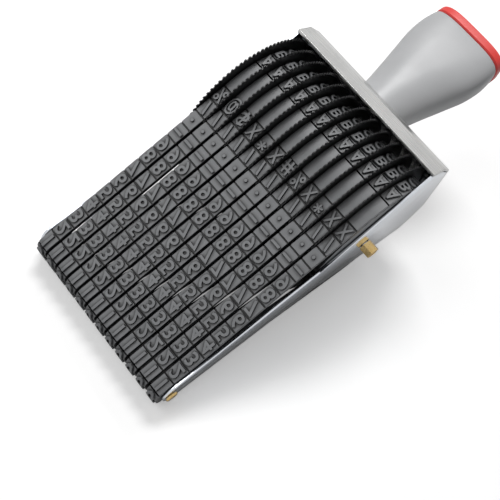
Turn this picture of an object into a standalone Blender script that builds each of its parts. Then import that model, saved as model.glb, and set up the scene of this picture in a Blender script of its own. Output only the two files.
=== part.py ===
# Hand roller stamp: twelve rubber character bands, each looped round its own toothed wheel and one platen.
# Built upright, with the handle along +Z, the readable front of the bands towards -Y and the wheel axle on X.
# The whole stamp is then laid on its back, as it rests on a table. Lengths are in metres.
from math import asin, atan, atan2, copysign, cos, hypot, pi, sin

import bmesh
import bpy
from mathutils import Vector

MM = 0.001
SMOOTH_ANGLE = pi / 6

# Clearances
TOUCH_GAP = 0.3 * MM
RUN_GAP = 0.3 * MM
OVERRUN = 1.0 * MM

# Bands
BAND_COUNT = 12
BAND_WIDTH = 4.95 * MM
BAND_THICKNESS = 2.5 * MM
BAND_WHEEL_RADIUS = 29.7 * MM
BAND_ARC_STEPS = 28
CORNER_STEPS = 4

# Wheels
FLANGE_RISE = 4.8 * MM
FLANGE_THICKNESS = 0.45 * MM
WHEEL_SEGMENTS = 36

# Axle and its nuts
AXLE_RADIUS = 1.5 * MM
NUT_LENGTH = 4.6 * MM
NUT_WALL = 0.65 * MM
NUT_THREAD_RECESS = 0.5 * MM
NUT_SIDES = 6
ROUND_SEGMENTS = 24

# Platen
PLATEN_REACH = 92.3 * MM
PLATEN_CORNER_OFFSET = 2.95 * MM
PLATEN_CORNER_RADIUS = 4.0 * MM
PLATEN_DEPTH = 9.0 * MM
PLATEN_RIVET_RADIUS = 1.2 * MM
PLATEN_RIVET_HEAD_RADIUS = 2.5 * MM
PLATEN_RIVET_HEAD_HEIGHT = 0.8 * MM
PLATEN_RIVET_GRIP = 6.0 * MM
PLATEN_RIVET_BACK = 1.7 * MM

# Side plates
PLATE_THICKNESS = 1.0 * MM
PLATE_TIP_RADIUS = 6.2 * MM
PLATE_TIP_BACK = 4.6 * MM
PLATE_WAIST_HALF = 11.0 * MM
PLATE_WAIST_DROP = 24.0 * MM
PLATE_TIP_STEPS = 10
TAB_LENGTH = 9.0 * MM
TAB_HALF_WIDTH = 8.0 * MM

# Hood over the wheels: half of its section, from the lip to the edge of the flat top
HOOD_THICKNESS = 1.0 * MM
HEAD_CLEARANCE = 0.6 * MM
LIP_HALF = 27.9 * MM
LIP_HEIGHT = 25.6 * MM
SHOULDER_HALF = 23.4 * MM
SHOULDER_DROP = 5.0 * MM
TOP_HALF = 16.5 * MM
HOOD_RIVET_RADIUS = 1.0 * MM
HOOD_RIVET_HEAD_RADIUS = 2.0 * MM
HOOD_RIVET_HEAD_HEIGHT = 0.8 * MM
HOOD_RIVET_INSET = 4.5 * MM
HOOD_RIVET_HALF_SPACING = 5.0 * MM

# Handle and its end cap
HANDLE_LENGTH = 52.0 * MM
HANDLE_OFFSET = -2.3 * MM
HANDLE_HALF_WIDTHS = (11.0 * MM, 11.6 * MM, 13.6 * MM, 16.2 * MM, 18.6 * MM, 18.9 * MM, 18.2 * MM)
HANDLE_HALF_DEPTHS = (10.4 * MM, 10.4 * MM, 10.6 * MM, 10.6 * MM, 10.3 * MM, 10.0 * MM, 9.6 * MM)
HANDLE_HEIGHT_SHARES = (0.0, 0.10, 0.30, 0.52, 0.74, 0.88, 1.0)
HANDLE_ROUNDNESS_SHARES = (0.95, 0.93, 0.85, 0.74, 0.64, 0.58, 0.55)
HANDLE_SEGMENTS = 32
CAP_HEIGHT = 4.6 * MM
CAP_EDGE = 1.4 * MM
SPIGOT_HEIGHT = 5.0 * MM
SPIGOT_WALL = 3.0 * MM

# Screw that holds the handle on the hood
SCREW_RADIUS = 2.0 * MM
SCREW_HEAD_RADIUS = 4.0 * MM
SCREW_HEAD_HEIGHT = 1.2 * MM
SCREW_GRIP = 22.0 * MM

# Worked out from the sizes above
BAND_PITCH = FLANGE_THICKNESS + RUN_GAP + BAND_WIDTH + TOUCH_GAP
FLANGE_RADIUS = BAND_WHEEL_RADIUS + FLANGE_RISE
STACK_LEFT = -(BAND_COUNT - 1) / 2 * BAND_PITCH - BAND_WIDTH / 2 - RUN_GAP - FLANGE_THICKNESS
STACK_RIGHT = (BAND_COUNT - 1) / 2 * BAND_PITCH + BAND_WIDTH / 2
STACK_SHIFT = -(STACK_LEFT + STACK_RIGHT) / 2
INNER_HALF = (STACK_RIGHT - STACK_LEFT) / 2 + RUN_GAP
OUTER_HALF = INNER_HALF + PLATE_THICKNESS
CORNER_DISTANCE = hypot(PLATEN_REACH, PLATEN_CORNER_OFFSET)
CORNER_ANGLE = atan(PLATEN_CORNER_OFFSET / PLATEN_REACH)
RUN_ANGLE = asin((BAND_WHEEL_RADIUS - PLATEN_CORNER_RADIUS) / CORNER_DISTANCE) - CORNER_ANGLE
REST_ANGLE = asin((FLANGE_RADIUS - PLATEN_CORNER_RADIUS) / CORNER_DISTANCE) - CORNER_ANGLE
RIVET_Z = -PLATEN_REACH + PLATEN_RIVET_BACK
TOP_HEIGHT = FLANGE_RADIUS + HEAD_CLEARANCE + SCREW_HEAD_HEIGHT + TOUCH_GAP + HOOD_THICKNESS
SHOULDER_HEIGHT = TOP_HEIGHT - SHOULDER_DROP
HANDLE_BASE = TOP_HEIGHT + TOUCH_GAP
HANDLE_END = HANDLE_BASE + HANDLE_LENGTH


def clear_scene():
    for item in list(bpy.data.objects):
        bpy.data.objects.remove(item, do_unlink=True)


def material(name, colour, roughness, metallic=0.0):
    mat = bpy.data.materials.new(name)
    mat.use_nodes = True
    shader = mat.node_tree.nodes["Principled BSDF"]
    shader.inputs["Base Color"].default_value = (*colour, 1.0)
    shader.inputs["Roughness"].default_value = roughness
    shader.inputs["Metallic"].default_value = metallic
    mat.diffuse_color = (*colour, 1.0)
    return mat


def place(name, mesh, pose):
    item = bpy.data.objects.new(name, mesh)
    bpy.context.scene.collection.objects.link(item)
    item.parent = pose
    return item


def finish_mesh(mesh, mat, smooth=True):
    mesh.materials.append(mat)
    if smooth:
        mesh.shade_smooth()
        mesh.set_sharp_from_angle(angle=SMOOTH_ANGLE)


def add_object(name, mesh, mat, pose, smooth=True):
    finish_mesh(mesh, mat, smooth)
    return place(name, mesh, pose)


def mesh_of(name, verts, faces):
    mesh = bpy.data.meshes.new(name)
    mesh.from_pydata([Vector(v) for v in verts], [], faces)
    cleaner = bmesh.new()
    cleaner.from_mesh(mesh)
    bmesh.ops.recalc_face_normals(cleaner, faces=cleaner.faces)
    cleaner.to_mesh(mesh)
    cleaner.free()
    return mesh


# A solid between two X values whose outline is a list of (y, z) points
def prism(name, outline, x0, x1):
    count = len(outline)
    verts = [(x0, y, z) for y, z in outline] + [(x1, y, z) for y, z in outline]
    faces = [tuple(range(count)), tuple(range(2 * count - 1, count - 1, -1))]
    for i in range(count):
        j = (i + 1) % count
        faces.append((i, j, count + j, count + i))
    return mesh_of(name, verts, faces)


# A closed strip between an outer and an inner outline of as many (y, z) points
def ring_prism(name, outer, inner, x0, x1):
    count = len(outer)
    verts = [(x, y, z) for x in (x0, x1) for line in (outer, inner) for y, z in line]
    left_outer, left_inner, right_outer, right_inner = (k * count for k in range(4))
    faces = []
    for i in range(count):
        j = (i + 1) % count
        faces.append((left_outer + i, left_outer + j, right_outer + j, right_outer + i))
        faces.append((left_inner + j, left_inner + i, right_inner + i, right_inner + j))
        faces.append((left_inner + i, left_inner + j, left_outer + j, left_outer + i))
        faces.append((right_outer + i, right_outer + j, right_inner + j, right_inner + i))
    return mesh_of(name, verts, faces)


# Circles of points round the X or the Z axis, one for each (along, radius) pair
def circles(profile, segments, axis="X"):
    verts = []
    for along, radius in profile:
        for k in range(segments):
            a = 2 * pi * k / segments
            u, v = radius * cos(a), radius * sin(a)
            verts.append((along, u, v) if axis == "X" else (u, v, along))
    return verts


# A closed (along, radius) profile turned round the X axis
def turned(name, profile, segments):
    verts = circles(profile, segments)
    rings = len(profile)
    faces = []
    for i in range(rings):
        j = (i + 1) % rings
        for k in range(segments):
            m = (k + 1) % segments
            faces.append((i * segments + k, i * segments + m, j * segments + m, j * segments + k))
    return mesh_of(name, verts, faces)


# A stepped pin: the (along, radius) points between its two ends, with flat ends
def pin(name, profile, segments, axis="X"):
    verts = circles(profile, segments, axis)
    last = (len(profile) - 1) * segments
    faces = [tuple(range(segments)), tuple(last + k for k in range(segments))]
    for i in range(len(profile) - 1):
        for k in range(segments):
            m = (k + 1) % segments
            low, high = i * segments, (i + 1) * segments
            faces.append((low + k, low + m, high + m, high + k))
    return mesh_of(name, verts, faces)


def cutter(name, mesh, pose):
    item = place(name, mesh, pose)
    item.hide_render = True
    item.display_type = "WIRE"
    return item


def boolean(item, tool, operation="DIFFERENCE"):
    mod = item.modifiers.new(tool.name, "BOOLEAN")
    mod.operation = operation
    mod.solver = "EXACT"
    mod.object = tool


def arc(centre, radius, start, end, steps):
    cy, cz = centre
    points = []
    for k in range(steps + 1):
        a = start + (end - start) * k / steps
        points.append((cy + radius * cos(a), cz + radius * sin(a)))
    return points


# Loop of a band, this far inside its outer surface: over the wheel, then round both platen corners
def loop_outline(inset):
    wheel = arc((0.0, 0.0), BAND_WHEEL_RADIUS - inset, -RUN_ANGLE, pi + RUN_ANGLE, BAND_ARC_STEPS)
    radius = PLATEN_CORNER_RADIUS - inset
    far = arc((-PLATEN_CORNER_OFFSET, -PLATEN_REACH), radius, pi + RUN_ANGLE, 3 * pi / 2, CORNER_STEPS)
    near = arc((PLATEN_CORNER_OFFSET, -PLATEN_REACH), radius, 3 * pi / 2, 2 * pi - RUN_ANGLE, CORNER_STEPS)
    return wheel + far + near


# The polyline moved inwards by a distance, with mitred corners; inwards is right of its direction
def offset_line(points, distance):
    result = []
    for i, (y, z) in enumerate(points):
        before = points[max(i - 1, 0)]
        after = points[min(i + 1, len(points) - 1)]
        normals = []
        for a, b in ((before, (y, z)), ((y, z), after)):
            length = hypot(b[0] - a[0], b[1] - a[1])
            if length > 0:
                normals.append(((b[1] - a[1]) / length, -(b[0] - a[0]) / length))
        ny = sum(n[0] for n in normals)
        nz = sum(n[1] for n in normals)
        size = hypot(ny, nz)
        ny, nz = ny / size, nz / size
        reach = distance / (ny * normals[0][0] + nz * normals[0][1])
        result.append((y + ny * reach, z + nz * reach))
    return result


def hood_line(inset):
    half = [(LIP_HALF, LIP_HEIGHT), (SHOULDER_HALF, SHOULDER_HEIGHT), (TOP_HALF, TOP_HEIGHT)]
    line = [(-y, z) for y, z in half] + [(y, z) for y, z in reversed(half)]
    return offset_line(line, inset)


def band_centre(index):
    return STACK_SHIFT + (index - (BAND_COUNT - 1) / 2) * BAND_PITCH


def make_bands(pose):
    rubber = material("band_rubber", (0.095, 0.098, 0.105), 0.62)
    outer = loop_outline(0.0)
    inner = loop_outline(BAND_THICKNESS)
    mesh = ring_prism("band", outer, inner, -BAND_WIDTH / 2, BAND_WIDTH / 2)
    finish_mesh(mesh, rubber)
    for index in range(BAND_COUNT):
        item = place(f"band_{index + 1:02d}", mesh, pose)
        item.location.x = band_centre(index)


def make_wheels(pose):
    plastic = material("wheel_plastic", (0.018, 0.019, 0.021), 0.42)
    drum_radius = BAND_WHEEL_RADIUS - BAND_THICKNESS - TOUCH_GAP
    bore = AXLE_RADIUS + TOUCH_GAP
    flange_right = -BAND_WIDTH / 2 - RUN_GAP
    flange_left = flange_right - FLANGE_THICKNESS
    drum_right = BAND_WIDTH / 2
    profile = [(flange_left, bore), (flange_left, FLANGE_RADIUS), (flange_right, FLANGE_RADIUS),
               (flange_right, drum_radius), (drum_right, drum_radius), (drum_right, bore)]
    mesh = turned("wheel", profile, WHEEL_SEGMENTS)
    finish_mesh(mesh, plastic)
    for index in range(BAND_COUNT):
        item = place(f"wheel_{index + 1:02d}", mesh, pose)
        item.location.x = band_centre(index)
        item.rotation_euler.x = pi / 2 - REST_ANGLE


def make_axle(pose):
    steel = material("axle_steel", (0.55, 0.55, 0.56), 0.3, 1.0)
    brass = material("nut_brass", (0.62, 0.44, 0.17), 0.28, 1.0)
    nut_start = OUTER_HALF + TOUCH_GAP
    nut_end = nut_start + NUT_LENGTH
    axle_end = nut_end - NUT_THREAD_RECESS
    axle = pin("axle", [(-axle_end, AXLE_RADIUS), (axle_end, AXLE_RADIUS)], ROUND_SEGMENTS)
    add_object("axle", axle, steel, pose)
    bore = AXLE_RADIUS + TOUCH_GAP
    outside = (bore + NUT_WALL) / cos(pi / NUT_SIDES)
    hexagon = arc((0.0, 0.0), outside, pi / NUT_SIDES, 2 * pi + pi / NUT_SIDES, NUT_SIDES)[:-1]
    hole = pin("nut_hole", [(-nut_end - OVERRUN, bore), (nut_end + OVERRUN, bore)], ROUND_SEGMENTS)
    tool = cutter("nut_hole", hole, pose)
    for name, x0, x1 in (("left_axle_nut", -nut_end, -nut_start), ("right_axle_nut", nut_start, nut_end)):
        nut = add_object(name, prism(name, hexagon, x0, x1), brass, pose, smooth=False)
        boolean(nut, tool)


def make_platen(pose):
    grey = material("platen_plastic", (0.03, 0.03, 0.032), 0.5)
    brass = material("rivet_brass", (0.66, 0.47, 0.2), 0.3, 1.0)
    radius = PLATEN_CORNER_RADIUS - BAND_THICKNESS - TOUCH_GAP
    near = arc((PLATEN_CORNER_OFFSET, -PLATEN_REACH), radius, -pi / 2, -RUN_ANGLE, CORNER_STEPS)
    top_y = near[-1][0] + PLATEN_DEPTH * sin(RUN_ANGLE)
    top_z = near[-1][1] + PLATEN_DEPTH * cos(RUN_ANGLE)
    right = near + [(top_y, top_z)]
    outline = right + [(-y, z) for y, z in reversed(right)]
    half = INNER_HALF - TOUCH_GAP
    bar = add_object("platen_bar", prism("platen_bar", outline, -half, half), grey, pose)
    shank = PLATEN_RIVET_RADIUS
    head_start = OUTER_HALF + TOUCH_GAP
    head_end = head_start + PLATEN_RIVET_HEAD_HEIGHT
    shank_start = half - PLATEN_RIVET_GRIP
    for name, side in (("left_platen_rivet", -1), ("right_platen_rivet", 1)):
        profile = [(side * shank_start, shank), (side * head_start, shank),
                   (side * head_start, PLATEN_RIVET_HEAD_RADIUS),
                   (side * (head_start + head_end) / 2, PLATEN_RIVET_HEAD_RADIUS),
                   (side * head_end, PLATEN_RIVET_HEAD_RADIUS - PLATEN_RIVET_HEAD_HEIGHT / 2)]
        rivet = add_object(name, pin(name, profile, ROUND_SEGMENTS), brass, pose)
        rivet.location.z = RIVET_Z
        hole_profile = [(side * (shank_start - TOUCH_GAP), shank + TOUCH_GAP),
                        (side * (OUTER_HALF + OVERRUN), shank + TOUCH_GAP)]
        hole = cutter(name + "_hole", pin(name + "_hole", hole_profile, ROUND_SEGMENTS), pose)
        hole.location.z = RIVET_Z
        boolean(bar, hole)


def plate_outline():
    tip_z = -PLATEN_REACH + PLATE_TIP_BACK
    slope = atan2(PLATE_WAIST_HALF - PLATE_TIP_RADIUS, -PLATE_WAIST_DROP - tip_z)
    tip = arc((0.0, tip_z), PLATE_TIP_RADIUS, pi + slope, 2 * pi - slope, PLATE_TIP_STEPS)
    top = hood_line(HOOD_THICKNESS + TOUCH_GAP)
    waist = (PLATE_WAIST_HALF, -PLATE_WAIST_DROP)
    return tip + [waist] + list(reversed(top)) + [(-waist[0], waist[1])]


def make_side_plates(pose):
    chrome = material("plate_chrome", (0.72, 0.74, 0.77), 0.08, 1.0)
    outline = plate_outline()
    tab_top = TOP_HEIGHT - HOOD_THICKNESS - TOUCH_GAP
    tab = [(-TAB_HALF_WIDTH, tab_top - PLATE_THICKNESS), (TAB_HALF_WIDTH, tab_top - PLATE_THICKNESS),
           (TAB_HALF_WIDTH, tab_top), (-TAB_HALF_WIDTH, tab_top)]
    hole_radius = AXLE_RADIUS + TOUCH_GAP
    axle_hole = pin("axle_hole", [(-OUTER_HALF - OVERRUN, hole_radius), (OUTER_HALF + OVERRUN, hole_radius)],
                    ROUND_SEGMENTS)
    axle_tool = cutter("axle_hole", axle_hole, pose)
    for word, side in (("left", -1), ("right", 1)):
        name = word + "_side_plate"
        plate = add_object(name, prism(name, outline, side * INNER_HALF, side * OUTER_HALF), chrome, pose)
        middle = side * (INNER_HALF + OUTER_HALF) / 2
        tab_mesh = prism(word + "_tab", tab, side * (INNER_HALF - TAB_LENGTH), middle)
        boolean(plate, cutter(word + "_tab", tab_mesh, pose), "UNION")
        boolean(plate, axle_tool)
        boolean(plate, bpy.data.objects[word + "_platen_rivet_hole"])


def hood_rivet_places():
    x = INNER_HALF - HOOD_RIVET_INSET
    return [(sx * x, sy * HOOD_RIVET_HALF_SPACING) for sx in (-1, 1) for sy in (-1, 1)]


def make_hood(pose):
    nickel = material("hood_nickel", (0.74, 0.74, 0.73), 0.22, 1.0)
    steel = material("rivet_steel", (0.6, 0.6, 0.6), 0.35, 1.0)
    outline = hood_line(0.0) + list(reversed(hood_line(HOOD_THICKNESS)))
    hood = add_object("hood", prism("hood", outline, -OUTER_HALF, OUTER_HALF), nickel, pose, smooth=False)
    bottom = TOP_HEIGHT - HOOD_THICKNESS - TOUCH_GAP - PLATE_THICKNESS
    head = TOP_HEIGHT + TOUCH_GAP
    profile = [(bottom, HOOD_RIVET_RADIUS), (head, HOOD_RIVET_RADIUS), (head, HOOD_RIVET_HEAD_RADIUS),
               (head + HOOD_RIVET_HEAD_HEIGHT / 2, HOOD_RIVET_HEAD_RADIUS),
               (head + HOOD_RIVET_HEAD_HEIGHT, HOOD_RIVET_HEAD_RADIUS - HOOD_RIVET_HEAD_HEIGHT / 2)]
    mesh = pin("hood_rivet", profile, ROUND_SEGMENTS // 2, axis="Z")
    finish_mesh(mesh, steel, smooth=False)
    hole_profile = [(bottom - OVERRUN, HOOD_RIVET_RADIUS + TOUCH_GAP),
                    (TOP_HEIGHT + OVERRUN, HOOD_RIVET_RADIUS + TOUCH_GAP)]
    hole_mesh = pin("hood_rivet_hole", hole_profile, ROUND_SEGMENTS // 2, axis="Z")
    for index, (x, y) in enumerate(hood_rivet_places()):
        rivet = place(f"hood_rivet_{index + 1}", mesh, pose)
        rivet.location = (x, y, 0.0)
        hole = cutter(f"hood_rivet_hole_{index + 1}", hole_mesh, pose)
        hole.location = (x, y, 0.0)
        boolean(hood, hole)
        boolean(bpy.data.objects[("left" if x < 0 else "right") + "_side_plate"], hole)
    screw_hole = [(TOP_HEIGHT - HOOD_THICKNESS - OVERRUN, SCREW_RADIUS + TOUCH_GAP),
                  (HANDLE_BASE + SCREW_GRIP + TOUCH_GAP, SCREW_RADIUS + TOUCH_GAP)]
    tool = cutter("screw_hole", pin("screw_hole", screw_hole, ROUND_SEGMENTS, axis="Z"), pose)
    tool.location.x = HANDLE_OFFSET
    boolean(hood, tool)


# Rounded outline of the handle at one height; a lower roundness share is squarer
def handle_ring(half_width, half_depth, roundness_share):
    points = []
    for k in range(HANDLE_SEGMENTS):
        a = 2 * pi * k / HANDLE_SEGMENTS
        x = copysign(abs(cos(a)) ** roundness_share, cos(a)) * half_width
        y = copysign(abs(sin(a)) ** roundness_share, sin(a)) * half_depth
        points.append((x, y))
    return points


# Solid through a list of (z, ring) levels, closed at both ends
def lofted(name, levels):
    count = len(levels[0][1])
    verts = [(x, y, z) for z, ring in levels for x, y in ring]
    last = (len(levels) - 1) * count
    faces = [tuple(range(count)), tuple(last + k for k in range(count))]
    for i in range(len(levels) - 1):
        for k in range(count):
            m = (k + 1) % count
            low, high = i * count, (i + 1) * count
            faces.append((low + k, low + m, high + m, high + k))
    return mesh_of(name, verts, faces)


def make_handle(pose):
    grey = material("handle_plastic", (0.42, 0.425, 0.435), 0.42)
    red = material("cap_plastic", (0.62, 0.045, 0.04), 0.35)
    steel = material("screw_steel", (0.6, 0.6, 0.6), 0.35, 1.0)
    levels = []
    table = zip(HANDLE_HEIGHT_SHARES, HANDLE_HALF_WIDTHS, HANDLE_HALF_DEPTHS, HANDLE_ROUNDNESS_SHARES)
    for height_share, width, depth, roundness in table:
        levels.append((HANDLE_BASE + height_share * HANDLE_LENGTH, handle_ring(width, depth, roundness)))
    handle = add_object("handle", lofted("handle", levels), grey, pose)
    handle.location.x = HANDLE_OFFSET
    end_width, end_depth = HANDLE_HALF_WIDTHS[-1], HANDLE_HALF_DEPTHS[-1]
    end_round = HANDLE_ROUNDNESS_SHARES[-1]
    socket = handle_ring(end_width - SPIGOT_WALL, end_depth - SPIGOT_WALL, end_round)
    socket_mesh = lofted("cap_socket", [(HANDLE_END - SPIGOT_HEIGHT, socket), (HANDLE_END + OVERRUN, socket)])
    socket_tool = cutter("cap_socket", socket_mesh, pose)
    socket_tool.location.x = HANDLE_OFFSET
    boolean(handle, socket_tool)
    boolean(handle, bpy.data.objects["screw_hole"])
    inset = SPIGOT_WALL + TOUCH_GAP
    spigot = handle_ring(end_width - inset, end_depth - inset, end_round)
    full = handle_ring(end_width, end_depth, end_round)
    small = handle_ring(end_width - CAP_EDGE, end_depth - CAP_EDGE, end_round)
    start = HANDLE_END + TOUCH_GAP
    end = start + CAP_HEIGHT
    cap_levels = [(HANDLE_END - SPIGOT_HEIGHT + TOUCH_GAP, spigot), (start, spigot), (start, full),
                  (end - CAP_EDGE, full), (end, small)]
    cap = add_object("end_cap", lofted("end_cap", cap_levels), red, pose)
    cap.location.x = HANDLE_OFFSET
    head_top = TOP_HEIGHT - HOOD_THICKNESS - TOUCH_GAP
    screw = [(head_top - SCREW_HEAD_HEIGHT, SCREW_HEAD_RADIUS), (head_top, SCREW_HEAD_RADIUS),
             (head_top, SCREW_RADIUS), (HANDLE_BASE + SCREW_GRIP, SCREW_RADIUS)]
    screw_item = add_object("handle_screw", pin("handle_screw", screw, ROUND_SEGMENTS, axis="Z"), steel, pose)
    screw_item.location.x = HANDLE_OFFSET


# Lays the stamp down on the wheels and the platen, with the middle of its footprint at the origin
def lay_down(pose):
    pose.rotation_euler.x = REST_ANGLE - pi / 2
    bpy.context.view_layer.update()
    graph = bpy.context.evaluated_depsgraph_get()
    points = []
    for item in bpy.context.scene.objects:
        if item.type == "MESH" and not item.hide_render:
            solid = item.evaluated_get(graph)
            points += [solid.matrix_world @ v.co for v in solid.data.vertices]
    low = [min(p[k] for p in points) for k in range(3)]
    high = [max(p[k] for p in points) for k in range(3)]
    pose.location = (-(low[0] + high[0]) / 2, -(low[1] + high[1]) / 2, -low[2])
    bpy.context.view_layer.update()


def main():
    clear_scene()
    pose = bpy.data.objects.new("lying_pose", None)
    bpy.context.scene.collection.objects.link(pose)
    make_bands(pose)
    make_wheels(pose)
    make_axle(pose)
    make_platen(pose)
    make_side_plates(pose)
    make_hood(pose)
    make_handle(pose)
    lay_down(pose)


main()
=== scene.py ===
from collections import namedtuple
from math import asin, atan, copysign, cos, hypot, pi, radians, sin

import bmesh
import bpy
import numpy as np
from mathutils import Matrix, Vector


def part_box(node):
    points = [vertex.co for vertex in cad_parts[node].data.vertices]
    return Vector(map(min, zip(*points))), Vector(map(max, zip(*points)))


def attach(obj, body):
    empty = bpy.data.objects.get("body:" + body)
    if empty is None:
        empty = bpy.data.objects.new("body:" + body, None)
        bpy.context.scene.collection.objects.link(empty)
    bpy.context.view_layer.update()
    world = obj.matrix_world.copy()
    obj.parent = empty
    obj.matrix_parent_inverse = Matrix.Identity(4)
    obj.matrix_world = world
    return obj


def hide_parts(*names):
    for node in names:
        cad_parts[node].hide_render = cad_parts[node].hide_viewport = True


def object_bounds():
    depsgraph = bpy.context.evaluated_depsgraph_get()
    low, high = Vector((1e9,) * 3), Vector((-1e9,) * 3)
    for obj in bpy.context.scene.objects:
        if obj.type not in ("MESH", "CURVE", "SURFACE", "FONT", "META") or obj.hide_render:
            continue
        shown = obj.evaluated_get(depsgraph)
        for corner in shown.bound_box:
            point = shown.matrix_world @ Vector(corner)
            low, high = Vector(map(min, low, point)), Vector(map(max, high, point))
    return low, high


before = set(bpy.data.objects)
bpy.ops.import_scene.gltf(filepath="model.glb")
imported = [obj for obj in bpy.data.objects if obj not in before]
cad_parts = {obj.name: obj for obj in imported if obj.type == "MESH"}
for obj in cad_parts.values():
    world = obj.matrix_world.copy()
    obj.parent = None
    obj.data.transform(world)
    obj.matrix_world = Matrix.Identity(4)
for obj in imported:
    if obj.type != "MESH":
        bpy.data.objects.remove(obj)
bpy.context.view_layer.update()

MM = 0.001

# Sizes shared with the solids
BAND_COUNT = 12
BAND_PITCH = 6.0 * MM
BAND_WIDTH = 4.95 * MM
BAND_THICKNESS = 2.5 * MM
WHEEL_ARC_RADIUS = 29.7 * MM
FLANGE_RADIUS = 34.5 * MM
FLANGE_THICKNESS = 0.45 * MM
AXLE_BORE = 1.8 * MM
PLATEN_REACH = 92.3 * MM
PLATEN_CORNER_OFFSET = 2.95 * MM
PLATEN_CORNER_RADIUS = 4.0 * MM
TOUCH_GAP = 0.3 * MM

# Tiles and grooves of a band. The shade lift sets a point's painted shade: 0 shaded side, 1 unshaded top
TILE_DROP = 0.15 * MM
TILE_CHAMFER = 0.12 * MM
TILE_LIFT = 1.0
CHAMFER_LIFT = 0.6
GROOVE_DEPTH = 0.75 * MM
GROOVE_HALF_TOP = 0.34 * MM
GROOVE_HALF_BOTTOM = 0.16 * MM
BAND_STEP = 1.0 * MM
BAND_SMOOTH_ANGLE = 28
WHEEL_ARC_STEPS = 720
CORNER_ARC_STEPS = 60

# Cells of a band. Places are lengths along the loop from where the front run meets the wheel
CELL_PITCH = 6.695 * MM
FIGURE_2_PLACE = -80.38 * MM
FIRST_LETTER_PLACE = 15.07 * MM
BAND_SKEW_SHARE = 0.0147
FIGURES = "0123456789-./"
CENTRED_FIGURES = ".-"
WIDE_FIGURES = "-"
LETTERS = "ABCDEFGHIJKLMNOPQRSTUVWXYZ"
BAND_SYMBOLS = "%@$X*X#%X*XX"

# Raised characters
GLYPH_HEIGHT = 5.6 * MM
GLYPH_MAX_WIDTH = 4.5 * MM
GLYPH_RELIEF = 0.8 * MM
GLYPH_ROOT = 0.05 * MM
GLYPH_FLARE = 0.12 * MM
GLYPH_WEIGHT = 0.1 * MM
GLYPH_SLICES = 8
GLYPH_CURVE_STEPS = 5
GLYPH_MERGE_DISTANCE = 0.001 * MM

# Wheels. The four shares place a tooth's foot, tip start, tip end and foot within its step
TOOTH_COUNT = 108
TOOTH_DEPTH = 1.0 * MM
TOOTH_SHARES = (0.0, 0.12, 0.50, 0.62)
RIB_COUNT = 40
RIB_DEPTH = 0.5 * MM
FLANGE_LIP = 0.1 * MM
WHEEL_SMOOTH_ANGLE = 30

# Handle and cap sections, from the hood outwards
HANDLE_RINGS = 48
HANDLE_SEGMENTS = 96
HANDLE_HALF_WIDTHS = (11.0 * MM, 11.6 * MM, 13.6 * MM, 16.2 * MM, 18.6 * MM, 18.9 * MM, 18.2 * MM)
HANDLE_HALF_DEPTHS = (10.4 * MM, 10.4 * MM, 10.6 * MM, 10.6 * MM, 10.3 * MM, 10.0 * MM, 9.6 * MM)
HANDLE_HEIGHT_SHARES = (0.0, 0.10, 0.30, 0.52, 0.74, 0.88, 1.0)
HANDLE_ROUNDNESS_SHARES = (0.95, 0.93, 0.85, 0.74, 0.64, 0.58, 0.55)
HANDLE_EDGE = 0.5 * MM
HANDLE_SMOOTH_ANGLE = 40
CAP_HEIGHT = 4.6 * MM
CAP_EDGE = 1.9 * MM
CAP_EDGE_STEPS = 8

# Sheet metal and turned parts get their edges broken
EDGE_BREAK = 0.12 * MM
SHEET_EDGE = 0.36 * MM
EDGE_STEPS = 3
SHARP_ANGLE = 35
SOLID_MERGE_DISTANCE = 0.002 * MM

# Surfaces: the tint noise drives the colour from dark to light, the gloss noise the roughness, and the grain
# noise the bump, which is given as strength and height
Noise = namedtuple("Noise", "scale detail stretch", defaults=(4.0, None))
SURFACE_FIELDS = "dark light tint roughness gloss bump grain metallic coat"
Surface = namedtuple("Surface", SURFACE_FIELDS, defaults=(0.0, 0.0))
NOISE_ROUGHNESS = 0.55
NOISE_LOW = 0.3
NOISE_HIGH = 0.7
COAT_ROUGHNESS = 0.2
BRUSHED = Noise(900.0, 3.0, (0.03, 1.0, 1.0))
TURNED = Noise(2500.0, 2.0, (1.0, 0.2, 0.2))
TURNED_TINT = Noise(500.0)
MOULDED = Noise(1800.0, 3.0)
MOULDED_TINT = Noise(45.0)
MOULDED_GLOSS = Noise(120.0, 6.0)

WHEEL_PLASTIC = Surface(
    dark=(0.007, 0.0075, 0.008), light=(0.013, 0.0135, 0.0145), tint=Noise(300.0),
    roughness=(0.28, 0.42), gloss=Noise(2400.0), bump=(0.15, 0.05 * MM), grain=Noise(2400.0))
# The chrome's blue tint is a painted reflection of blue surroundings
PLATE_CHROME_PAINTED_BLUE = Surface(
    dark=(0.72, 0.75, 0.80), light=(0.80, 0.83, 0.88), tint=Noise(55.0, 6.0),
    roughness=(0.05, 0.13), gloss=Noise(40.0, 8.0), bump=(0.03, 0.02 * MM), grain=Noise(900.0, 2.0),
    metallic=1.0)
HOOD_NICKEL = Surface(
    dark=(0.56, 0.56, 0.55), light=(0.65, 0.65, 0.64), tint=Noise(70.0),
    roughness=(0.20, 0.34), gloss=BRUSHED, bump=(0.06, 0.02 * MM), grain=BRUSHED, metallic=1.0)
SMALL_STEEL = Surface(
    dark=(0.50, 0.50, 0.50), light=(0.62, 0.62, 0.62), tint=TURNED_TINT,
    roughness=(0.25, 0.42), gloss=TURNED, bump=(0.08, 0.02 * MM), grain=TURNED, metallic=1.0)
BRASS = Surface(
    dark=(0.62, 0.42, 0.16), light=(0.76, 0.56, 0.26), tint=TURNED_TINT,
    roughness=(0.18, 0.32), gloss=TURNED, bump=(0.08, 0.02 * MM), grain=TURNED, metallic=1.0)
HANDLE_PLASTIC = Surface(
    dark=(0.47, 0.475, 0.485), light=(0.52, 0.525, 0.535), tint=MOULDED_TINT,
    roughness=(0.34, 0.46), gloss=MOULDED_GLOSS, bump=(0.08, 0.03 * MM), grain=MOULDED, coat=0.15)
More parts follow.
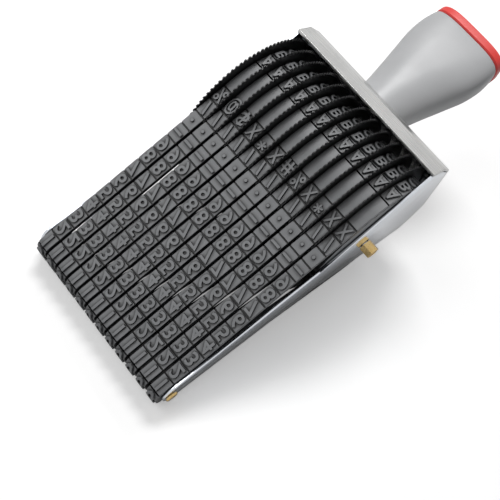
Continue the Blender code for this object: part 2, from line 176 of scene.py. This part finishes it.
CAP_PLASTIC = Surface(
    dark=(0.84, 0.050, 0.042), light=(0.90, 0.064, 0.054), tint=MOULDED_TINT,
    roughness=(0.34, 0.46), gloss=MOULDED_GLOSS, bump=(0.08, 0.03 * MM), grain=MOULDED, coat=0.1)
PLATEN_PLASTIC = Surface(
    dark=(0.010, 0.010, 0.011), light=(0.016, 0.016, 0.018), tint=MOULDED_TINT,
    roughness=(0.4, 0.55), gloss=MOULDED_GLOSS, bump=(0.08, 0.03 * MM), grain=MOULDED)

# Rubber is a painted low shade and its top colour mixed by the shade lift, and darker in crevices by painted
# shade
RUBBER_PAINTED_SHADE_LOW = ((0.030, 0.031, 0.034), (0.045, 0.047, 0.051))
RUBBER_TOP_SHADES = ((0.175, 0.180, 0.187), (0.220, 0.225, 0.233))
RUBBER_TINT = Noise(160.0)
RUBBER_GRAIN = Noise(5200.0)
RUBBER_ROUGHNESS = (0.36, 0.52)
RUBBER_SPECULAR = 0.5
RUBBER_BUMP = (0.25, 0.05 * MM)
# Painted shade: the colour is darkened where ambient occlusion finds crevices
CREVICE_SHADE_REACH = 1.5 * MM
CREVICE_SHADE_SAMPLES = 8
CREVICE_PAINTED_SHADE_STOPS = ((0.6, (0.02, 0.02, 0.022)), (0.97, (1.0, 1.0, 1.0)))

# Camera from the axle, in (along the axle, FRONT, UP)
CAMERA_PLACE = (72.3 * MM, 263.445 * MM, -103.117 * MM)
CAMERA_FORWARD = (-0.21426, -0.94621, 0.24244)
CAMERA_TOP = (-0.74967, 0.31841, 0.58018)
CAMERA_LENS = 54.03
CAMERA_SENSOR = 36.0
CAMERA_CLIP_START = 0.01

# Studio. The floor glows only for the camera, and sends less light back than it shows
FLOOR_SIZE = 4.0
FLOOR_STEPS = 24
FLOOR_PAPER = ((0.92, 0.92, 0.92), (0.94, 0.94, 0.94))
FLOOR_TINT = Noise(30.0)
FLOOR_ROUGHNESS = 0.8
FLOOR_BOUNCE = (0.35, 0.35, 0.36)
FLOOR_GLOW = 0.35
GLOW_COLOUR = (1.0, 1.0, 1.0, 1.0)
ROOM_LIGHT = 0.22
ROOM_SEEN = 1.0

# Lamps: name, direction from the axle, distance, width, depth, power
LAMPS = (
    ("key", (-0.36, 0.24, 0.90), 0.9, 0.40, 0.22, 3.6),
    ("front", (-0.45, -0.50, 0.74), 1.0, 0.6, 0.5, 2.6),
    ("back", (-0.21, 0.68, 0.70), 0.9, 0.36, 0.10, 0.8),
)

# Directions of the stamp as it lies, worked out from its sizes
CORNER_DISTANCE = hypot(PLATEN_REACH, PLATEN_CORNER_OFFSET)
CORNER_ANGLE = atan(PLATEN_CORNER_OFFSET / PLATEN_REACH)
RUN_ANGLE = asin((WHEEL_ARC_RADIUS - PLATEN_CORNER_RADIUS) / CORNER_DISTANCE) - CORNER_ANGLE
REST_ANGLE = asin((FLANGE_RADIUS - PLATEN_CORNER_RADIUS) / CORNER_DISTANCE) - CORNER_ANGLE
UP = Vector((0.0, cos(REST_ANGLE), sin(REST_ANGLE)))
FRONT = Vector((0.0, -sin(REST_ANGLE), cos(REST_ANGLE)))


def middle_of(node):
    low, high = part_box(node)
    return (low + high) / 2


AXLE = middle_of("axle")
TO_WORLD = Matrix.Translation(AXLE) @ Matrix((Vector((1, 0, 0)), FRONT, UP)).transposed().to_4x4()


# A visible piece that rides a body and stands for the given nodes
def add_piece(name, mesh, mat, body, nodes):
    mesh.materials.clear()
    mesh.materials.append(mat)
    item = bpy.data.objects.new(name, mesh)
    bpy.context.scene.collection.objects.link(item)
    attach(item, body)
    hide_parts(*nodes)
    return item


def smooth(mesh, degrees):
    mesh.shade_smooth()
    mesh.set_sharp_from_angle(angle=radians(degrees))


# Mesh made from a bmesh, which is freed
def finished_mesh(name, work, degrees):
    bmesh.ops.recalc_face_normals(work, faces=work.faces)
    mesh = bpy.data.meshes.new(name)
    work.to_mesh(mesh)
    work.free()
    smooth(mesh, degrees)
    return mesh


# Colour sockets of a node that has inputs or outputs of several kinds
def colour_sockets(sockets):
    return [s for s in sockets if s.type == "RGBA"]


class Shader:
    def __init__(self, name):
        self.mat = bpy.data.materials.new(name)
        self.mat.use_nodes = True
        self.nodes = self.mat.node_tree.nodes
        self.links = self.mat.node_tree.links
        self.surface = self.nodes["Principled BSDF"]

    def put(self, **values):
        for key, value in values.items():
            self.surface.inputs[key.replace("_", " ")].default_value = value

    def link(self, out, key):
        self.links.new(out, self.surface.inputs[key])

    def noise(self, noise):
        place = self.nodes.new("ShaderNodeTexCoord").outputs["Object"]
        if noise.stretch:
            mapping = self.nodes.new("ShaderNodeMapping")
            mapping.inputs["Scale"].default_value = noise.stretch
            self.links.new(place, mapping.inputs["Vector"])
            place = mapping.outputs["Vector"]
        node = self.nodes.new("ShaderNodeTexNoise")
        node.inputs["Scale"].default_value = noise.scale
        node.inputs["Detail"].default_value = noise.detail
        node.inputs["Roughness"].default_value = NOISE_ROUGHNESS
        self.links.new(place, node.inputs["Vector"])
        return node.outputs["Fac"]

    def ramp(self, value, stops):
        node = self.nodes.new("ShaderNodeValToRGB")
        for element, (place, colour) in zip(node.color_ramp.elements, stops):
            element.position = place
            element.color = (*colour, 1.0)
        self.links.new(value, node.inputs["Fac"])
        return node.outputs["Color"]

    # Colour between a dark and a light shade, as a noise value goes from low to high
    def shades(self, value, dark, light):
        return self.ramp(value, ((NOISE_LOW, dark), (NOISE_HIGH, light)))

    # Number between a low and a high one, as a noise value goes from low to high
    def spread(self, value, low, high):
        node = self.nodes.new("ShaderNodeMapRange")
        node.inputs["From Min"].default_value = NOISE_LOW
        node.inputs["From Max"].default_value = NOISE_HIGH
        node.inputs["To Min"].default_value = low
        node.inputs["To Max"].default_value = high
        self.links.new(value, node.inputs["Value"])
        return node.outputs["Result"]

    # Mix of two colours, each an output or a fixed colour, by a share that is an output or a number
    def mix(self, share, first, second, blend="MIX"):
        node = self.nodes.new("ShaderNodeMix")
        node.data_type = "RGBA"
        node.blend_type = blend
        sockets = [node.inputs["Factor"]] + colour_sockets(node.inputs)
        for value, socket in zip((share, first, second), sockets):
            if isinstance(value, tuple):
                socket.default_value = (*value, 1.0)
            elif isinstance(value, float):
                socket.default_value = value
            else:
                self.links.new(value, socket)
        return colour_sockets(node.outputs)[0]

    # Share of open space round a point: 0 in a crevice, 1 on an open face
    def openness(self, reach):
        node = self.nodes.new("ShaderNodeAmbientOcclusion")
        node.samples = CREVICE_SHADE_SAMPLES
        node.inputs["Distance"].default_value = reach
        return node.outputs["AO"]

    def attribute(self, name):
        node = self.nodes.new("ShaderNodeAttribute")
        node.attribute_name = name
        return node.outputs["Fac"]

    def bump(self, height, strength, distance):
        node = self.nodes.new("ShaderNodeBump")
        node.inputs["Strength"].default_value = strength
        node.inputs["Distance"].default_value = distance
        self.links.new(height, node.inputs["Height"])
        self.link(node.outputs["Normal"], "Normal")


def surface_material(name, surface):
    shader = Shader(name)
    shader.link(shader.shades(shader.noise(surface.tint), surface.dark, surface.light), "Base Color")
    shader.link(shader.spread(shader.noise(surface.gloss), *surface.roughness), "Roughness")
    shader.put(Metallic=surface.metallic, Coat_Weight=surface.coat, Coat_Roughness=COAT_ROUGHNESS)
    shader.bump(shader.noise(surface.grain), *surface.bump)
    return shader.mat


def rubber_material():
    shader = Shader("band_rubber")
    grain = shader.noise(RUBBER_GRAIN)
    tint = shader.noise(RUBBER_TINT)
    low = shader.shades(tint, *RUBBER_PAINTED_SHADE_LOW)
    top = shader.shades(tint, *RUBBER_TOP_SHADES)
    # Painted shade: the low colour darkens the grooves, glyph flanks and band sides
    painted_relief_shade = shader.mix(shader.attribute("shade_lift"), low, top)
    # Painted shade in crevices, from ambient occlusion
    crevice = shader.ramp(shader.openness(CREVICE_SHADE_REACH), CREVICE_PAINTED_SHADE_STOPS)
    shader.link(shader.mix(1.0, painted_relief_shade, crevice, "MULTIPLY"), "Base Color")
    shader.link(shader.spread(grain, *RUBBER_ROUGHNESS), "Roughness")
    shader.put(Specular_IOR_Level=RUBBER_SPECULAR)
    shader.bump(grain, *RUBBER_BUMP)
    return shader.mat


# Closed path of a band's outer surface: the lengths along it, and a row of place and outward direction for
# each, in (FRONT, UP)
def loop_table():
    far = (-PLATEN_CORNER_OFFSET, -PLATEN_REACH)
    near = (PLATEN_CORNER_OFFSET, -PLATEN_REACH)
    bottom = 3 * pi / 2
    start = 2 * pi - RUN_ANGLE
    arcs = [((0.0, 0.0), WHEEL_ARC_RADIUS, -RUN_ANGLE, pi + RUN_ANGLE, WHEEL_ARC_STEPS),
            (far, PLATEN_CORNER_RADIUS, pi + RUN_ANGLE, bottom, CORNER_ARC_STEPS),
            (near, PLATEN_CORNER_RADIUS, bottom, start, CORNER_ARC_STEPS),
            ((0.0, 0.0), WHEEL_ARC_RADIUS, start, start, 1)]
    rows = []
    for (y, z), radius, first, last, steps in arcs:
        for a in np.linspace(first, last, steps):
            rows.append((y + radius * cos(a), z + radius * sin(a), cos(a), sin(a)))
    rows = np.array(rows)
    lengths = np.hypot(*np.diff(rows[:, :2], axis=0).T)
    return np.concatenate([[0.0], np.cumsum(lengths)]), rows


LOOP_LENGTHS, LOOP_ROWS = loop_table()
LOOP_LENGTH = LOOP_LENGTHS[-1]


# World places of points given across the band, along its loop and above its outer surface
def wrap(across, along, height):
    along = np.mod(along, LOOP_LENGTH)
    y, z, ny, nz = (np.interp(along, LOOP_LENGTHS, column) for column in LOOP_ROWS.T)
    local = np.stack([across, y + ny * height, z + nz * height], axis=1)
    turn = np.array(TO_WORLD.to_3x3())
    return local @ turn.T + np.array(AXLE)


# Cells of one band as (character, start, end) along the loop, ending with the blank stretch
def band_cells(symbol):
    cells = []
    stretch = WHEEL_ARC_RADIUS / (WHEEL_ARC_RADIUS - BAND_THICKNESS)
    arc_pitch = CELL_PITCH * stretch
    loop_start = FIRST_LETTER_PLACE - arc_pitch / 2
    place = loop_start
    arc_letters = LETTERS[:len(LETTERS) // 2]
    for letter in arc_letters:
        cells.append((letter, place, place + arc_pitch))
        place += arc_pitch
    figures_start = LOOP_LENGTH + FIGURE_2_PLACE - (FIGURES.index("2") + 0.5) * CELL_PITCH
    run_letters = LETTERS[len(arc_letters):]
    run_pitch = (figures_start - place) / len(run_letters)
    for letter in run_letters:
        cells.append((letter, place, place + run_pitch))
        place += run_pitch
    for figure in FIGURES + symbol:
        cells.append((figure, place, place + CELL_PITCH))
        place += CELL_PITCH
    cells.append(("", place, LOOP_LENGTH + loop_start))
    return cells


# One character as a solid of the font's own size, in a bmesh
def solid_glyph(text):
    curve = bpy.data.curves.new("glyph", "FONT")
    curve.body = text
    curve.size = GLYPH_HEIGHT
    curve.align_x = "CENTER"
    curve.offset = GLYPH_WEIGHT
    curve.bevel_depth = GLYPH_FLARE
    curve.bevel_resolution = 0
    curve.extrude = GLYPH_ROOT
    curve.resolution_u = GLYPH_CURVE_STEPS
    item = bpy.data.objects.new("glyph", curve)
    bpy.context.scene.collection.objects.link(item)
    graph = bpy.context.evaluated_depsgraph_get()
    mesh = bpy.data.meshes.new_from_object(item.evaluated_get(graph))
    bpy.data.objects.remove(item)
    bpy.data.curves.remove(curve)
    work = bmesh.new()
    work.from_mesh(mesh)
    bmesh.ops.remove_doubles(work, verts=work.verts, dist=GLYPH_MERGE_DISTANCE)
    bpy.data.meshes.remove(mesh)
    return work


# Lowest and highest place of a bmesh along one axis
def ends(work, axis):
    places = [v.co[axis] for v in work.verts]
    return min(places), max(places)


# Characters at their size, as lists of points and faces; the height of a capital sets the size of them all
def make_glyphs():
    capital = solid_glyph("H")
    low, high = ends(capital, 1)
    capital.free()
    scale = GLYPH_HEIGHT / (high - low)
    glyphs = {}
    for text in sorted(set(FIGURES + LETTERS + BAND_SYMBOLS)):
        work = solid_glyph(text)
        left, right = ends(work, 0)
        narrow = min(scale, GLYPH_MAX_WIDTH / (right - left))
        middle = (low + high) / 2
        if text in CENTRED_FIGURES:
            middle = sum(ends(work, 1)) / 2
        if text in WIDE_FIGURES:
            narrow = GLYPH_MAX_WIDTH / (right - left)
        for v in work.verts:
            v.co.x = (v.co.x - (left + right) / 2) * narrow
            v.co.y = (v.co.y - middle) * scale
        for k in range(1, GLYPH_SLICES):
            level = (k / GLYPH_SLICES - 0.5) * GLYPH_HEIGHT
            geometry = work.verts[:] + work.edges[:] + work.faces[:]
            bmesh.ops.bisect_plane(work, geom=geometry, plane_co=(0, level, 0), plane_no=(0, 1, 0))
        work.verts.index_update()
        points = np.array([v.co for v in work.verts])
        faces = [tuple(v.index for v in f.verts) for f in work.faces]
        glyphs[text] = (points, faces)
        work.free()
    return glyphs


# Steps along the loop with the height of the band's top there: flat on a tile, low in the groove between two
def band_profile(cells):
    steps = []
    for _, start, end in cells:
        first = start + GROOVE_HALF_TOP
        last = end - GROOVE_HALF_TOP
        steps.append((start + GROOVE_HALF_BOTTOM, -TILE_DROP - GROOVE_DEPTH))
        count = max(2, round((last - first) / BAND_STEP) + 1)
        for place in np.linspace(first, last, count):
            steps.append((place, -TILE_DROP))
        steps.append((end - GROOVE_HALF_BOTTOM, -TILE_DROP - GROOVE_DEPTH))
    return steps


# Section across a band as (across, height, lift): bottom left, over the chamfered top, bottom right
def band_section(top):
    half = BAND_WIDTH / 2
    # Painted shade: full on the sides and in the grooves, partial on a tile's chamfers, none on its top
    shade_lift = TILE_LIFT if top == -TILE_DROP else 0.0
    return ((-half, -BAND_THICKNESS, 0.0),
            (-half, top - TILE_CHAMFER, shade_lift * CHAMFER_LIFT),
            (-half + TILE_CHAMFER, top, shade_lift),
            (half - TILE_CHAMFER, top, shade_lift),
            (half, top - TILE_CHAMFER, shade_lift * CHAMFER_LIFT),
            (half, -BAND_THICKNESS, 0.0))


def band_mesh(name, index, glyphs):
    cells = band_cells(BAND_SYMBOLS[index])
    steps = band_profile(cells)
    from_middle = (index - (BAND_COUNT - 1) / 2) * BAND_PITCH
    skew = BAND_SKEW_SHARE * from_middle
    middle = middle_of(f"band_{index + 1:02d}").x
    across, along, height, shade_lift = [], [], [], []
    for place, top in steps:
        section = band_section(top)
        for x, h, share in section:
            across.append(x)
            along.append(place)
            height.append(h)
            shade_lift.append(share)
    count = len(section)
    faces = []
    for i in range(len(steps)):
        j = (i + 1) % len(steps)
        for k in range(count):
            m = (k + 1) % count
            faces.append((i * count + k, i * count + m, j * count + m, j * count + k))
    for text, start, end in cells:
        if not text:
            continue
        points, glyph_faces = glyphs[text]
        base = len(across)
        across.extend(points[:, 0])
        along.extend((start + end) / 2 - points[:, 1])
        # Painted shade on each glyph's flank: full at its foot, none on its top
        raised = np.clip((points[:, 2] - GLYPH_ROOT) / GLYPH_FLARE, 0.0, 1.0)
        height.extend(raised * (GLYPH_RELIEF + GLYPH_ROOT) - GLYPH_ROOT - TILE_DROP)
        shade_lift.extend(raised)
        faces.extend(tuple(base + k for k in f) for f in glyph_faces)
    world = wrap(np.array(across) + middle, np.array(along) + skew, np.array(height))
    mesh = bpy.data.meshes.new(name)
    mesh.from_pydata([tuple(p) for p in world], [], faces)
    layer = mesh.attributes.new("shade_lift", "FLOAT", "POINT")
    layer.data.foreach_set("value", np.array(shade_lift, np.float32))
    work = bmesh.new()
    work.from_mesh(mesh)
    bmesh.ops.recalc_face_normals(work, faces=work.faces)
    work.to_mesh(mesh)
    work.free()
    smooth(mesh, BAND_SMOOTH_ANGLE)
    return mesh


def make_bands():
    glyphs = make_glyphs()
    rubber = rubber_material()
    for index in range(BAND_COUNT):
        node = f"band_{index + 1:02d}"
        mesh = band_mesh(node, index, glyphs)
        add_piece(f"character_{node}", mesh, rubber, "frame", [node])


# Closed outline with teeth or ribs, as (angle, radius) points, four to a tooth
def toothed_ring(radius, depth, count, shares):
    ring = []
    for k in range(count):
        for share, drop in zip(shares, (depth, 0.0, 0.0, depth)):
            ring.append((2 * pi * (k + share) / count, radius - drop))
    return ring


# Side faces between loops of equally many points
def skin(work, loops):
    count = len(loops[0])
    for lower, upper in zip(loops, loops[1:]):
        for k in range(count):
            m = (k + 1) % count
            work.faces.new((lower[k], lower[m], upper[m], upper[k]))


# Solid round the axle through rings of (angle, radius) points, each at its place along the axle
def ring_solid(work, rings):
    loops = []
    for x, ring in rings:
        loops.append([work.verts.new(TO_WORLD @ Vector((x, r * cos(a), r * sin(a)))) for a, r in ring])
    skin(work, loops + loops[:1])


def wheel_mesh(name, low, high, bore, drum):
    flange_right = low + FLANGE_THICKNESS
    work = bmesh.new()
    rim = toothed_ring(FLANGE_RADIUS, TOOTH_DEPTH, TOOTH_COUNT, TOOTH_SHARES)
    inner = [(a, r - FLANGE_LIP) for a, r in rim]
    core = [(a, bore) for a, _ in rim]
    ring_solid(work, [(low, core), (low, inner), (low + FLANGE_LIP, rim), (flange_right - FLANGE_LIP, rim),
                      (flange_right, inner), (flange_right, core)])
    ribs = toothed_ring(drum, RIB_DEPTH, RIB_COUNT, TOOTH_SHARES)
    hub = [(a, bore) for a, _ in ribs]
    ring_solid(work, [(flange_right, hub), (flange_right, ribs), (high, ribs), (high, hub)])
    return finished_mesh(name, work, WHEEL_SMOOTH_ANGLE)


def make_wheels():
    plastic = surface_material("wheel_plastic", WHEEL_PLASTIC)
    drum = WHEEL_ARC_RADIUS - BAND_THICKNESS - TOUCH_GAP
    for index in range(BAND_COUNT):
        node = f"wheel_{index + 1:02d}"
        low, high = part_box(node)
        mesh = wheel_mesh(node, low.x, high.x, AXLE_BORE, drum)
        add_piece(f"toothed_{node}", mesh, plastic, f"wheel_body_{index + 1:02d}", [node])


# Rounded oblong: a roundness share of 1 gives an ellipse, a lower one fuller corners
def handle_ring(half_width, half_depth, roundness_share):
    points = []
    for k in range(HANDLE_SEGMENTS):
        a = 2 * pi * k / HANDLE_SEGMENTS
        x = copysign(abs(cos(a)) ** roundness_share, cos(a)) * half_width
        y = copysign(abs(sin(a)) ** roundness_share, sin(a)) * half_depth
        points.append((x, y))
    return points


# Smooth value at a share of the height through a table of values
def eased(share, values):
    shares = HANDLE_HEIGHT_SHARES
    slopes = np.gradient(np.array(values), np.array(shares))
    i = min(max(np.searchsorted(shares, share) - 1, 0), len(shares) - 2)
    span = shares[i + 1] - shares[i]
    t = (share - shares[i]) / span
    start = (1 + 2 * t) * (1 - t) ** 2 * values[i] + t * (1 - t) ** 2 * span * slopes[i]
    return start + t * t * (3 - 2 * t) * values[i + 1] + t * t * (t - 1) * span * slopes[i + 1]


# Solid through sections at heights along UP, shifted along the axle
def lofted(name, levels, shift):
    work = bmesh.new()
    loops = []
    for z, ring in levels:
        loops.append([work.verts.new(TO_WORLD @ Vector((x + shift, y, z))) for x, y in ring])
    skin(work, loops)
    work.faces.new(loops[0])
    work.faces.new(loops[-1])
    return finished_mesh(name, work, HANDLE_SMOOTH_ANGLE)


# Lowest and highest place of a node along UP, from the axle
def reach_of(node):
    corners = [v.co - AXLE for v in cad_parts[node].data.vertices]
    heights = [c.dot(UP) for c in corners]
    return min(heights), max(heights)


def make_handle():
    grey = surface_material("handle_plastic", HANDLE_PLASTIC)
    red = surface_material("cap_plastic", CAP_PLASTIC)
    shift = middle_of("handle").x
    start, end = reach_of("handle")
    levels = []
    for share in np.linspace(0.0, 1.0, HANDLE_RINGS):
        width = eased(share, HANDLE_HALF_WIDTHS)
        depth = eased(share, HANDLE_HALF_DEPTHS)
        roundness = eased(share, HANDLE_ROUNDNESS_SHARES)
        levels.append((start + share * (end - start), handle_ring(width, depth, roundness)))
    width = HANDLE_HALF_WIDTHS[-1]
    depth = HANDLE_HALF_DEPTHS[-1]
    roundness = HANDLE_ROUNDNESS_SHARES[-1]
    chamfered = handle_ring(width - HANDLE_EDGE, depth - HANDLE_EDGE, roundness)
    levels[-1] = (end - HANDLE_EDGE, levels[-1][1])
    levels.append((end, chamfered))
    add_piece("grip", lofted("grip", levels, shift), grey, "frame", ["handle"])
    cap_end = reach_of("end_cap")[1]
    cap_start = cap_end - CAP_HEIGHT
    levels = [(cap_start, chamfered), (cap_start + HANDLE_EDGE, handle_ring(width, depth, roundness))]
    for k in range(CAP_EDGE_STEPS + 1):
        a = pi / 2 * k / CAP_EDGE_STEPS
        inset = CAP_EDGE * (1 - cos(a))
        ring = handle_ring(width - inset, depth - inset, roundness)
        levels.append((cap_end - CAP_EDGE + CAP_EDGE * sin(a), ring))
    add_piece("red_cap", lofted("red_cap", levels, shift), red, "frame", ["end_cap"])


# A piece that keeps the shape of its solid, with the sharp edges broken
def refine(node, mat, width=EDGE_BREAK):
    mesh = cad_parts[node].data.copy()
    work = bmesh.new()
    work.from_mesh(mesh)
    bmesh.ops.remove_doubles(work, verts=work.verts, dist=SOLID_MERGE_DISTANCE)
    work.to_mesh(mesh)
    work.free()
    item = add_piece(f"{node}_finished", mesh, mat, "frame", [node])
    bevel = item.modifiers.new("broken_edges", "BEVEL")
    bevel.width = width
    bevel.segments = EDGE_STEPS
    bevel.limit_method = "ANGLE"
    bevel.angle_limit = radians(SHARP_ANGLE)
    bevel.use_clamp_overlap = True
    bevel.harden_normals = True
    smooth(mesh, SHARP_ANGLE)


def make_plates_and_fittings():
    chrome = surface_material("plate_chrome", PLATE_CHROME_PAINTED_BLUE)
    nickel = surface_material("hood_nickel", HOOD_NICKEL)
    steel = surface_material("small_steel", SMALL_STEEL)
    brass = surface_material("brass", BRASS)
    black = surface_material("platen_plastic", PLATEN_PLASTIC)
    for node in ("left_side_plate", "right_side_plate"):
        refine(node, chrome, SHEET_EDGE)
    refine("hood", nickel, SHEET_EDGE)
    for node in ("left_axle_nut", "right_axle_nut", "left_platen_rivet", "right_platen_rivet"):
        refine(node, brass)
    for node in ("axle", "handle_screw", "hood_rivet_1", "hood_rivet_2", "hood_rivet_3", "hood_rivet_4"):
        refine(node, steel)
    refine("platen_bar", black)


def make_camera():
    data = bpy.data.cameras.new("camera")
    data.lens = CAMERA_LENS
    data.sensor_width = CAMERA_SENSOR
    data.clip_start = CAMERA_CLIP_START
    camera = bpy.data.objects.new("camera", data)
    bpy.context.scene.collection.objects.link(camera)
    turn = TO_WORLD.to_3x3()
    back = -(turn @ Vector(CAMERA_FORWARD)).normalized()
    side = (turn @ Vector(CAMERA_TOP)).cross(back).normalized()
    axes = Matrix((side, back.cross(side), back)).transposed()
    camera.matrix_world = Matrix.Translation(TO_WORLD @ Vector(CAMERA_PLACE)) @ axes.to_4x4()
    bpy.context.scene.camera = camera


def make_lamp(name, direction, distance, width, depth, power):
    data = bpy.data.lights.new(name, "AREA")
    data.shape = "RECTANGLE"
    data.size = width
    data.size_y = depth
    data.energy = power
    lamp = bpy.data.objects.new(name, data)
    bpy.context.scene.collection.objects.link(lamp)
    aim = Vector(direction).normalized()
    lamp.location = AXLE + aim * distance
    lamp.rotation_mode = "QUATERNION"
    lamp.rotation_quaternion = aim.to_track_quat("Z", "Y")


# A plain room: full strength where it is seen or mirrored, dimmer as light
def make_world():
    world = bpy.data.worlds.new("studio")
    bpy.context.scene.world = world
    world.use_nodes = True
    nodes = world.node_tree.nodes
    links = world.node_tree.links
    nodes.clear()
    path = nodes.new("ShaderNodeLightPath")
    seen = nodes.new("ShaderNodeMath")
    seen.operation = "MAXIMUM"
    links.new(path.outputs["Is Camera Ray"], seen.inputs[0])
    links.new(path.outputs["Is Glossy Ray"], seen.inputs[1])
    level = nodes.new("ShaderNodeMapRange")
    level.inputs["To Min"].default_value = ROOM_LIGHT
    level.inputs["To Max"].default_value = ROOM_SEEN
    links.new(seen.outputs[0], level.inputs["Value"])
    background = nodes.new("ShaderNodeBackground")
    links.new(level.outputs["Result"], background.inputs["Strength"])
    output = nodes.new("ShaderNodeOutputWorld")
    links.new(background.outputs["Background"], output.inputs["Surface"])


def floor_material():
    shader = Shader("floor_paper")
    paper = shader.shades(shader.noise(FLOOR_TINT), *FLOOR_PAPER)
    path = shader.nodes.new("ShaderNodeLightPath")
    shader.link(shader.mix(path.outputs["Is Diffuse Ray"], paper, FLOOR_BOUNCE), "Base Color")
    shader.put(Roughness=FLOOR_ROUGHNESS, Emission_Color=GLOW_COLOUR)
    seen = shader.nodes.new("ShaderNodeMath")
    seen.operation = "MULTIPLY"
    seen.inputs[1].default_value = FLOOR_GLOW
    shader.links.new(path.outputs["Is Camera Ray"], seen.inputs[0])
    shader.link(seen.outputs[0], "Emission Strength")
    return shader.mat


def make_floor():
    floor_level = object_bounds()[0].z
    work = bmesh.new()
    bmesh.ops.create_grid(work, x_segments=FLOOR_STEPS, y_segments=FLOOR_STEPS, size=FLOOR_SIZE / 2)
    mesh = bpy.data.meshes.new("floor")
    work.to_mesh(mesh)
    work.free()
    mesh.materials.append(floor_material())
    floor = bpy.data.objects.new("floor", mesh)
    floor.location.z = floor_level
    bpy.context.scene.collection.objects.link(floor)


def make_studio():
    make_camera()
    make_world()
    make_floor()
    for lamp in LAMPS:
        make_lamp(*lamp)
    bpy.context.scene.view_settings.view_transform = "Standard"


make_bands()
make_wheels()
make_handle()
make_plates_and_fittings()
make_studio()
